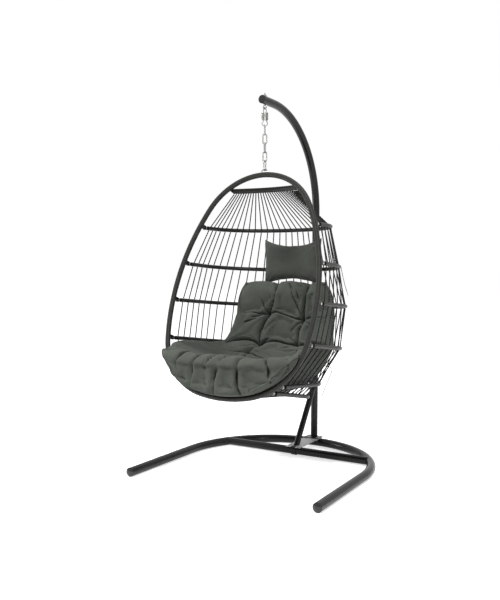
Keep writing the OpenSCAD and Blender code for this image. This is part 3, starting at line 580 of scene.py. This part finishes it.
def cushion_grid():
    """Skin of the solid as rows from the front edge to the top edge, each a ring of columns; both
    ends close to a line. With it, the station of each row and the angle of each column."""
    fine = np.linspace(0, len(TABLE) - 1, 4000)
    val, _ = spline_rows(fine)
    run = np.concatenate([[0], np.cumsum(np.hypot(*np.diff(val[:, :2], axis=0).T))])
    u = np.interp(np.linspace(0, run[-1], ROWS + 1), run, fine)
    u = np.concatenate([np.zeros(CAPS), u, np.full(CAPS, len(TABLE) - 1.0)])
    shut = np.concatenate([np.linspace(0, 1, CAPS, endpoint=False), np.ones(ROWS + 1),
                           np.linspace(1, 0, CAPS + 1)[1:]])
    nose = np.sqrt(1 - shut ** 2) * np.where(u > 1, 1.0, -1.0) * CAP_BULGE_MM
    val, slope = spline_rows(u)
    way = slope[:, :2] / np.linalg.norm(slope[:, :2], axis=1)[:, None]
    angle = 2 * np.pi * np.arange(COLS) / COLS
    c, s = np.cos(angle)[None, :], np.sin(angle)[None, :]
    across = np.sign(c) * np.abs(c) ** SECTION_POWER
    k = np.abs(across) ** 3
    t = (val[:, 5] / 2 * shut)[:, None] * s
    my = val[:, 0:1] + (val[:, 2:3] - val[:, 0:1]) * k + (nose * way[:, 0])[:, None]
    mz = val[:, 1:2] + (val[:, 3:4] - val[:, 1:2]) * k + (nose * way[:, 1])[:, None]
    pts = np.stack([val[:, 4:5] * across, my - way[:, 1:2] * t, mz + way[:, 0:1] * t], -1) / 1000
    return pts + np.array([0, TOP.y, TOP.z]), u, angle


def rounded(p, u):
    """Take the hard corners off the front edge, whose two faces meet on the first row."""
    flip = mirrored_columns(p.shape[1])
    w = (1 - eased((u - 0.8) / 1.9))[:, None, None] * 0.6
    for _ in range(70):
        above = np.concatenate([p[1:2][:, flip], p[:-1]])
        below = np.concatenate([p[1:], p[-1:]])
        p = p + w * ((above + below + np.roll(p, 1, 1) + np.roll(p, -1, 1)) / 4 - p)
    return p


def grid_normals(p):
    """Outward normals; a closed end, whose own are no use, takes those of the row beside it."""
    du = np.gradient(p, axis=0)
    dk = np.roll(p, -1, 1) - np.roll(p, 1, 1)
    n = np.cross(dk, du)
    n = n / np.maximum(np.linalg.norm(n, axis=2, keepdims=True), 1e-12)
    if (n * (p - p.mean(axis=1, keepdims=True))).sum() < 0:
        n = -n
    flip = mirrored_columns(p.shape[1])
    for row, beside in ((0, 1), (-1, -2)):
        n[row] = n[beside] + n[beside][flip]
        n[row] /= np.maximum(np.linalg.norm(n[row], axis=1, keepdims=True), 1e-9)
    return n


def front_normals(base, u):
    """Normals that turn, over the front roll, to rays from a line inside it."""
    n = grid_normals(base)
    val, _ = spline_rows(np.array([2.6]))
    heart = np.array([TOP.y + val[0, 0] / 1000, TOP.z + val[0, 1] / 1000 + 0.01])
    rise = np.abs(base[..., 0]) ** 3 / 0.36 ** 3 * 0.085
    ray = np.stack([base[..., 0] * 0.25, base[..., 1] - heart[0] - rise * 0.2,
                    base[..., 2] - heart[1] - rise], -1)
    ray /= np.linalg.norm(ray, axis=2, keepdims=True)
    k = (1 - eased((u - 0.7) / 1.8))[:, None, None]
    n = n * (1 - k) + ray * k
    return n / np.maximum(np.linalg.norm(n, axis=2, keepdims=True), 1e-9)


# ---------------------------------------------------------------- cushion's tufts, valleys and pleats
# lines of points (x, y, z) in mm of the frame, near the skin; each line is then laid on the skin
TUFTS = T1, T2, T3, T4, T5, T6 = [(-83, 105, 813), (129, 104, 791), (-123, 66, 653), (105, 72, 665),
                                  (-172, 30, 615), (135, 20, 607)]
TUFT_DEPTH_MM, TUFT_RADIUS = 13, 0.020
# line, depth, width, and whether the valley grows shallow towards its far end
VALLEYS = [
    ([T1, (-56, 103, 879), (-45, 103, 929), (-41, 124, 969), (-40, 150, 985)], 28, 75, False),
    ([T1, (-108, 101, 770), (-133, 90, 715), T3], 30, 75, False),
    ([T2, (134, 106, 855), (142, 105, 910), (149, 124, 965), (150, 150, 985)], 28, 75, False),
    ([T2, (109, 97, 747), (103, 87, 705), T4], 30, 75, False),
    ([T1, (-38, 104, 836), (0, 104, 824), (66, 104, 804), T2], 22, 60, False),
    ([T1, (-128, 106, 818), (-190, 110, 828), (-261, 118, 822), (-290, 130, 815)], 20, 60, True),
    ([T2, (162, 106, 805), (200, 107, 812), (260, 118, 808), (290, 130, 800)], 20, 60, True),
    ([T3, (-165, 74, 672), (-208, 74, 676), (-277, 59, 672), (-310, 34, 668)], 30, 70, False),
    ([T3, (-88, 76, 668), (-50, 82, 676), (0, 78, 674), (51, 73, 664), T4], 30, 70, False),
    ([T4, (152, 71, 668), (200, 73, 676), (270, 60, 672), (310, 34, 668)], 30, 70, False),
    ([T3, T5], 16, 50, False),
    ([T4, T6], 16, 50, False),
    ([T5, (-90, 10, 600), (0, 0, 590), (70, 10, 600), T6], 20, 60, False),
    ([T5, (-242, 1, 612), (-300, -41, 630)], 18, 55, True),
    ([T6, (220, 0, 620), (300, -41, 632)], 18, 55, True),
    ([T5, (-165, -120, 590), (-165, -270, 600)], 18, 60, True),
    ([T6, (125, -120, 590), (130, -270, 600)], 18, 60, True),
]
# line, depth, width; these and the pleats run out at both ends
TUCKS = [
    ([(-130, 130, 905), (-113, 105, 861), T1], 7, 18), ([(41, 120, 963), (90, 104, 866), T2], 8, 16),
    ([(95, 110, 940), (100, 104, 905)], 6, 14), ([(60, 110, 955), (72, 104, 900)], 5, 14),
    ([(-200, 100, 800), (-165, 104, 806), (-120, 104, 812)], 8, 18),
    ([(-250, 90, 770), (-200, 100, 785), (-150, 104, 800)], 8, 20),
    ([(-40, 100, 790), (-90, 96, 745), (-112, 88, 720)], 6, 16),
    ([(60, 98, 730), (92, 98, 765), T2], 7, 16), ([(190, 98, 770), (150, 100, 785), T2], 6, 16),
    ([(-60, 76, 700), (-95, 76, 672), T3], 6, 16), ([(60, 80, 700), (85, 76, 680), T4], 6, 16),
    ([(-230, 40, 640), (-180, 56, 645), T3], 6, 16), ([(20, 60, 640), (70, 66, 655), T4], 6, 16),
    ([(-280, -350, 650), (-262, -300, 625), (-250, -260, 615)], 7, 22),
    ([(-210, -380, 625), (-195, -330, 612)], 6, 20), ([(-90, -390, 618), (-80, -330, 608)], 6, 20),
    ([(30, -400, 618), (45, -330, 608)], 6, 20), ([(190, -390, 618), (180, -330, 610)], 6, 20),
]
PLEATS = [
    ([(-316, -440, 655), (-332, -468, 637), (-340, -467, 600)], 13, 24),
    ([(-236, -400, 650), (-246, -470, 635), (-246, -491, 606), (-222, -520, 543)], 16, 30),
    ([(-120, -400, 630), (-136, -470, 626), (-148, -498, 608), (-150, -518, 560), (-142, -530, 515)],
     16, 32),
    ([(-40, -420, 622), (-56, -486, 611), (-74, -496, 577)], 12, 26),
    ([(50, -400, 622), (20, -465, 614), (0, -480, 606), (-25, -501, 565), (-20, -525, 520),
      (-16, -529, 470)], 18, 36),
    ([(108, -430, 622), (93, -506, 599), (98, -520, 550), (118, -520, 510), (124, -514, 470)], 18, 36),
    ([(236, -440, 632), (242, -492, 609), (264, -508, 552)], 15, 28),
    ([(310, -440, 655), (321, -473, 642), (334, -465, 606)], 12, 22),
]
PLEAT_SLIT_MM, PLEAT_SLIT_RADIUS = 30, 0.0060  # deeper cut along the middle of a pleat
SEAM = [(-150, -520, 535), (-80, -527, 522), (0, -530, 528), (90, -525, 545), (180, -515, 572),
        (250, -500, 598), (320, -475, 625)]
SEAM_DEPTH_MM, SEAM_RADIUS = 1.1, 0.0035
SNAP_STEP = 0.012


def snapped(base, line):
    """Line of mm points laid on the skin: cut into short steps, each moved to the nearest skin point."""
    pts = np.array(line, float) / 1000
    out = []
    for a, b in zip(pts[:-1], pts[1:]):
        m = max(1, int(np.linalg.norm(b - a) / SNAP_STEP))
        out += [a + (b - a) * i / m for i in range(m)]
    out.append(pts[-1])
    flat = base.reshape(-1, 3)
    hit = np.array([flat[((flat - q) ** 2).sum(1).argmin()] for q in out])
    for _ in range(2):
        hit[1:-1] = (hit[:-2] + 2 * hit[1:-1] + hit[2:]) / 4
    return hit


def reach(base, mm_line):
    """Distance of each skin point to the line laid on the skin, and how far along it the near point
    lies, 0 to 1."""
    line = snapped(base, mm_line)
    best = np.full(base.shape[:2], 9.0)
    along = np.zeros(base.shape[:2])
    lens = np.linalg.norm(np.diff(line, axis=0), axis=1)
    total, run = lens.sum(), 0.0
    for a, b, length in zip(line[:-1], line[1:], lens):
        ab = b - a
        f = np.clip(((base - a) @ ab) / max(length ** 2, 1e-12), 0, 1)
        d = np.linalg.norm(base - a - f[..., None] * ab, axis=2)
        near = d < best
        best[near] = d[near]
        along[near] = ((run + f * length) / total)[near]
        run += length
    return best, along


def puffed(d, wide_mm):
    """1 on the line, 0 at the width and beyond, round like the shoulder of a stuffed pillow."""
    q = np.clip(d / (wide_mm / 1000), 0, 1)
    return 1 - np.sqrt(1 - (1 - q) ** 2)


def bell(d, radius):
    return np.exp(-(d / radius) ** 2)


def valley_depth(base):
    """Depth in mm of the valleys and tufts, at each skin point."""
    dent = np.zeros(base.shape[:2])
    for line, depth, wide, fades in VALLEYS:
        d, s = reach(base, line)
        k = 1 - s ** 2 * 0.8 if fades else 1.0
        dent = np.maximum(dent, 1.2 * depth * k * puffed(d, wide))
    for tuft in TUFTS:
        d = np.linalg.norm(base - snapped(base, [tuft, tuft])[0], axis=2)
        dent += TUFT_DEPTH_MM * bell(d, TUFT_RADIUS)
    return dent


def tuck_depth(base):
    tuck = np.zeros(base.shape[:2])
    for line, depth, wide in TUCKS:
        d, s = reach(base, line)
        k = np.clip(np.sin(np.pi * (0.06 + 0.88 * s)) * 1.4, 0, 1)
        tuck = np.maximum(tuck, 1.7 * depth * k * puffed(d, wide))
    return tuck


def pleat_depth(base):
    pleat = np.zeros(base.shape[:2])
    for line, depth, wide in PLEATS:
        d, s = reach(base, line)
        k = np.clip(np.sin(np.pi * (0.02 + 0.96 * s)) * 1.5, 0, 1) ** 0.8
        pleat = np.maximum(pleat, k * (depth * puffed(d, wide) + PLEAT_SLIT_MM * bell(d, PLEAT_SLIT_RADIUS)))
    return pleat


def grid_noise(p, scale, size, seed):
    shift = Vector((seed, seed * 0.7, -seed))
    flat = [noise.noise(Vector(q) * scale + shift) * size for q in p.reshape(-1, 3)]
    return np.array(flat).reshape(p.shape[:2])


# ---------------------------------------------------------------- cushion's stuffing and its place
CLOTH_FRAMES = 20
PRESSURE = 4.0
MOST_MOVE = 0.016  # that the simulation may move a point
HOLD_LEAST = 0.02  # weights below it hold nothing
HEART_DEPTH = 0.74  # under the crown, of the point round which the front roll swells


def ring_faces(rows, cols):
    return [(r * cols + k, r * cols + (k + 1) % cols, (r + 1) * cols + (k + 1) % cols, (r + 1) * cols + k)
            for r in range(rows - 1) for k in range(cols)]


def inflate(shell, hold, share):
    """Blow the stitched shell up as cloth; returns how far each point moved, capped, times its share."""
    mesh = bpy.data.meshes.new("pad_sim")
    mesh.from_pydata([tuple(v) for v in shell.reshape(-1, 3)], [], ring_faces(*shell.shape[:2]))
    obj = bpy.data.objects.new("pad_sim", mesh)
    bpy.context.scene.collection.objects.link(obj)
    group = obj.vertex_groups.new(name="hold")
    for i, weight in enumerate(hold.reshape(-1)):
        if weight > HOLD_LEAST:
            group.add([i], float(min(weight, 1.0)), 'REPLACE')
    modifier = obj.modifiers.new("Cloth", 'CLOTH')
    cotton = modifier.settings
    cotton.quality = 5
    cotton.mass = 0.3
    cotton.tension_stiffness = 12
    cotton.compression_stiffness = 12
    cotton.shear_stiffness = 4
    cotton.bending_stiffness = 0.15
    cotton.use_pressure = True
    cotton.uniform_pressure_force = PRESSURE
    cotton.vertex_group_mass = "hold"
    cotton.effector_weights.gravity = 0
    modifier.collision_settings.use_collision = False
    modifier.collision_settings.use_self_collision = False
    modifier.point_cache.frame_start = 1
    modifier.point_cache.frame_end = CLOTH_FRAMES
    scene = bpy.context.scene
    for number in range(1, CLOTH_FRAMES + 1):
        scene.frame_set(number)
    moved = obj.evaluated_get(bpy.context.evaluated_depsgraph_get())
    out = np.empty(shell.size)
    moved.to_mesh().vertices.foreach_get("co", out)
    moved.to_mesh_clear()
    bpy.data.objects.remove(obj)
    bpy.data.meshes.remove(mesh)
    scene.frame_set(1)
    move = out.reshape(shell.shape) - shell
    size = np.linalg.norm(move, axis=2, keepdims=True)
    return move * np.minimum(1, MOST_MOVE / np.maximum(size, 1e-9)) * share[..., None]


def stuffed(p, hold, share):
    """Simulate every second row and column, and spread the moves to the points between."""
    pick = np.ix_(np.arange(0, p.shape[0], 2), np.arange(0, p.shape[1], 2))
    full = np.zeros_like(p)
    full[pick] = inflate(p[pick], np.clip(hold[pick], 0, 1), share[pick])
    full[1:-1:2, ::2] = (full[0:-2:2, ::2] + full[2::2, ::2]) / 2
    full[:, 1::2] = (full[:, 0::2] + np.roll(full[:, 0::2], -1, 1)) / 2
    return p + full


def lead_of(p):
    """How far each point lies ahead of the hoop's plane."""
    return (p - np.array(TOP)) @ np.array([0, -math.cos(TILT), math.sin(TILT)])


def over_hoop(p):
    """Lay the front roll over the hoop's front: what lies ahead of the tube swells to its middle line."""
    rel = p - np.array(TOP)
    ahead = lead_of(p)
    down = -(rel @ np.array([0, math.sin(TILT), math.cos(TILT)])) - HEART_DEPTH
    ring = np.array(hoop_line)
    order = np.arctan2(ring[:, 0], ring[:, 1] - HEART_DEPTH)
    size = np.hypot(ring[:, 0], ring[:, 1] - HEART_DEPTH)
    rank = np.argsort(order)
    turn = np.arctan2(rel[..., 0], down)
    full = np.interp(turn, order[rank], size[rank], period=2 * np.pi)
    r = np.maximum(np.hypot(rel[..., 0], down), 1e-6)
    q = r / full
    cap = 0.986 + 0.020 * eased((np.abs(turn) - math.radians(47)) / math.radians(20))
    room = np.clip((cap - q) / 0.06, 0, 1)
    grow = 0.062 * full * eased((ahead - 0.015) / 0.012) * eased((q - 0.70) / 0.22) * room
    out = np.stack([rel[..., 0] / r, -down / r * math.sin(TILT), -down / r * math.cos(TILT)], -1)
    return p + out * grow[..., None]


def build_cushion():
    base, u, angle = cushion_grid()
    base = rounded(base, u)
    half = np.abs(base[..., 0])
    ahead = lead_of(base)
    up = np.clip((np.sin(angle)[None, :] + 0.25) / 0.5, 0, 1) * np.ones(len(u))[:, None]
    up = up * up * (3 - 2 * up)
    front = np.clip((ahead - 0.012) / 0.03, 0, 1)
    free = np.maximum(up, front)
    dent, tuck, pleat = valley_depth(base), tuck_depth(base), pleat_depth(base)
    seam = SEAM_DEPTH_MM * bell(reach(base, SEAM)[0], SEAM_RADIUS)
    lump = grid_noise(base, 9.0, 5.0, 3.0) + grid_noise(base, 24.0, 1.8, 11.0)
    swell = 12.0 * up + 17.0 * front * (1 - up)
    crown = 32.0 * np.exp(-((u - 3.0) / 2.2) ** 2)[:, None] * up * np.clip(1.25 - half / 0.36, 0, 1)
    move = swell + crown - (dent + tuck) * up - (pleat + seam) * free + lump * (0.25 + 0.75 * free)
    move = np.where(free < 0.02, np.minimum(move, -1.2), move)
    p = base + front_normals(base, u) * (move / 1000)[..., None]
    side = np.clip((half - 0.26) / 0.10, 0, 1) * np.clip((ahead - 0.016) / 0.025, 0, 1)
    p[..., 0] += np.sign(base[..., 0]) * side * 0.006
    lobe = np.clip(1 - dent / 22, 0, 1) * np.clip((0.30 - half) / 0.10, 0, 1)
    p[..., 2] += 0.017 * eased((u - 15.2) / 1.8)[:, None] * lobe
    p = stuffed(p, np.clip(dent / 26, 0, 1) ** 2 + np.clip(pleat / 14, 0, 1) ** 2 + (1 - free), free)
    p = over_hoop(p)
    flip = mirrored_columns(COLS)
    for row in (0, -1):
        p[row] = (p[row] + p[row][flip]) / 2
    bm = filled([tuple(v) for v in p.reshape(-1, 3)], ring_faces(len(u), COLS))
    bmesh.ops.remove_doubles(bm, verts=bm.verts, dist=0.00002)
    bmesh.ops.recalc_face_normals(bm, faces=bm.faces)
    return bm


cushion = add_piece("seat_cushion", build_cushion(), "basket", cloth)
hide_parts("cushion")
folds_flat(cushion)

# ---------------------------------------------------------------- head pillow
PILLOW = Vector((0.034, TOP.y + 0.2633, TOP.z - 0.440))
YAW = Matrix.Rotation(math.radians(-5), 3, 'Z')
PILLOW_CELLS = (90, 64)
PILLOW_HALF_WIDTH, PILLOW_HALF_HEIGHT, PILLOW_PUFF = 0.189, 0.1300, 0.047
SIDE_WAIST, TOP_WAIST, FOOT_WAIST = 0.91, 0.66, 0.72  # of the rim between the corners
RIM_POWER = 2.2


def pillow_point(side, s, t):
    """Point of the front or back sheet, where s and t run from -1 to 1 across and up."""
    nip = 1 - 0.045 * abs(s * t) ** 6
    waist = TOP_WAIST if t > 0 else FOOT_WAIST
    x = s * PILLOW_HALF_WIDTH * (SIDE_WAIST + (1 - SIDE_WAIST) * abs(t) ** RIM_POWER) * nip
    z = t * PILLOW_HALF_HEIGHT * (waist + (1 - waist) * abs(s) ** RIM_POWER) * nip
    puff = (max(0.0, 1 - s ** 4) * max(0.0, 1 - t ** 4)) ** 0.5 * (1 - 0.30 * (s * t) ** 2)
    seam = 0.0022 * math.exp(-((1 - max(abs(s), abs(t))) / 0.03) ** 2)
    pull = 0.0045 * max(0.0, math.cos(abs(s) * 7.5 - abs(t) * 7.5)) ** 4 * (abs(s) * abs(t)) ** 1.2
    y = side * max(0.0, PILLOW_PUFF * puff - seam - pull)
    return PILLOW + YAW @ Vector((x, y, z))


def build_pillow():
    """Two puffed sheets sewn at the rim: pinched pointed corners, rim that dips between them."""
    bm = bmesh.new()
    nx, nz = PILLOW_CELLS
    grid = {}
    for side in (-1, 1):
        for i in range(nx + 1):
            for j in range(nz + 1):
                if side == 1 and (i in (0, nx) or j in (0, nz)):
                    grid[side, i, j] = grid[-1, i, j]
                    continue
                s = math.sin(math.pi / 2 * (2 * i / nx - 1))
                t = math.sin(math.pi / 2 * (2 * j / nz - 1))
                grid[side, i, j] = bm.verts.new(pillow_point(side, s, t))
    for side in (-1, 1):
        for i in range(nx):
            for j in range(nz):
                cell = [grid[side, i, j], grid[side, i + 1, j], grid[side, i + 1, j + 1],
                        grid[side, i, j + 1]]
                bm.faces.new(cell if side == -1 else list(reversed(cell)))
    bmesh.ops.recalc_face_normals(bm, faces=bm.faces)
    bm.normal_update()
    for v in bm.verts:
        v.co += v.normal * (noise.noise(v.co * 14) * 0.0028 + noise.noise(v.co * 34) * 0.0012 - 0.0005)
    return bm


pillow = add_piece("neck_pillow", build_pillow(), "basket", pillow_cloth)
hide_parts("head_pillow")
folds_flat(pillow)


# ---------------------------------------------------------------- ties
def tube_mesh(name, pts, dia):
    """Round tube along straight stretches, with closed ends."""
    curve = bpy.data.curves.new(name, 'CURVE')
    curve.dimensions = '3D'
    line = curve.splines.new('POLY')
    line.points.add(len(pts) - 1)
    for point, place in zip(line.points, pts):
        point.co = (*place, 1)
    curve.bevel_depth = dia / 2
    curve.bevel_resolution = 3
    curve.use_fill_caps = True
    curve.materials.append(thread)
    route = bpy.data.objects.new(name + "_path", curve)
    bpy.context.scene.collection.objects.link(route)
    mesh = bpy.data.meshes.new_from_object(route.evaluated_get(bpy.context.evaluated_depsgraph_get()))
    bpy.data.objects.remove(route)
    bpy.data.curves.remove(curve)
    return mesh


def tie(name, pts_mm, dia, node_name):
    """Sewn-on tie that hangs from its first point; mm from the crown's height and depth."""
    pts = [Vector((x, y, z)) / 1000 + Vector((0, TOP.y, TOP.z)) for x, y, z in pts_mm]
    obj = bpy.data.objects.new(name, tube_mesh(name, pts, dia))
    bpy.context.scene.collection.objects.link(obj)
    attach(obj, "basket")
    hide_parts(node_name)
    folds_flat(obj)


tie("pillow_string", [(231.6, 248.5, -441), (262, 231, -446), (305, 203, -451), (335, 173, -455),
                      (347, 157, -459), (354.1, 160.8, -458.3), (362.3, 164.9, -463.8),
                      (364.2, 166.1, -478), (368, 170, -501), (373, 175, -531), (379, 181, -561),
                      (386, 187, -591), (393, 193, -618)],
    0.003, "pillow_tie")
tie("cushion_string", [(294.3, 116.9, -977.7), (302, 123, -980), (312, 131, -984), (324, 141, -988),
                       (329, 145, -996), (327, 139, -1016), (319, 127, -1046), (309, 113, -1081),
                       (300, 101, -1116), (297, 96, -1132)],
    0.0035, "cushion_tie")
